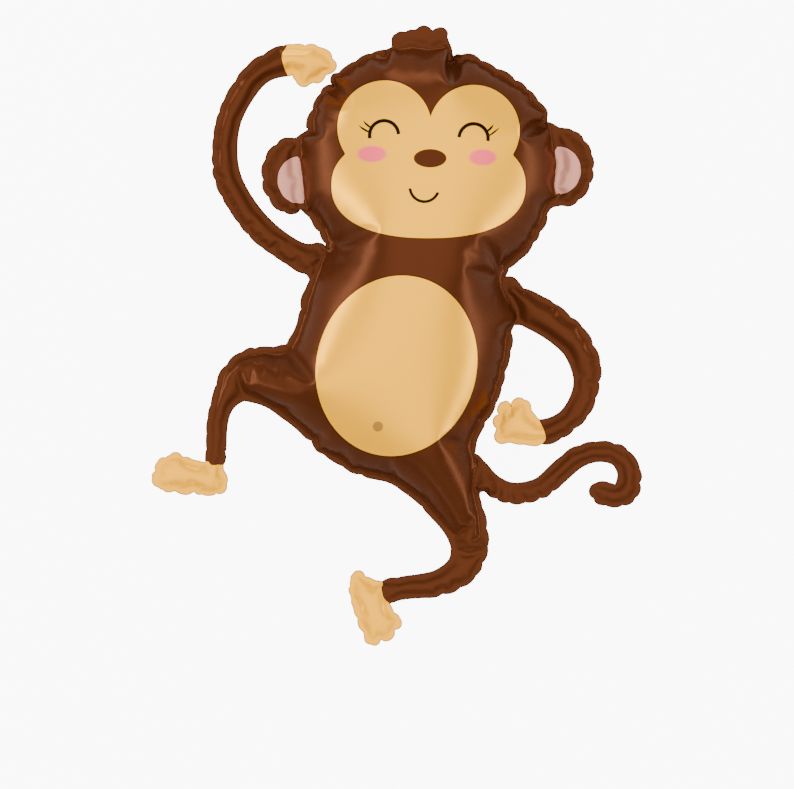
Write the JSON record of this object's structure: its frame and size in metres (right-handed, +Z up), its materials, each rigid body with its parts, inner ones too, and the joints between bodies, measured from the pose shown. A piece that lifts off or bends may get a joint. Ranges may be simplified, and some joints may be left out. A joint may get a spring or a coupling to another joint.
{
  "type": "foil balloon",
  "caption": "Helium-type foil balloon in the shape of a dancing monkey, printed on both sheets, blown up and lying on its back.",
  "frame": {"origin": "on the ground, under the middle of the outline's box", "axes": "+Z up, out of the monkey's face; +Y from its feet to its head; +X to the right of the picture"},
  "size_m": [0.6, 0.7582, 0.2164],
  "materials": {
    "printed_foil": "satin-gloss printed foil"
  },
  "bodies": {
    "root": {"balloon_envelope": "printed_foil"}
  },
  "joints": []
}
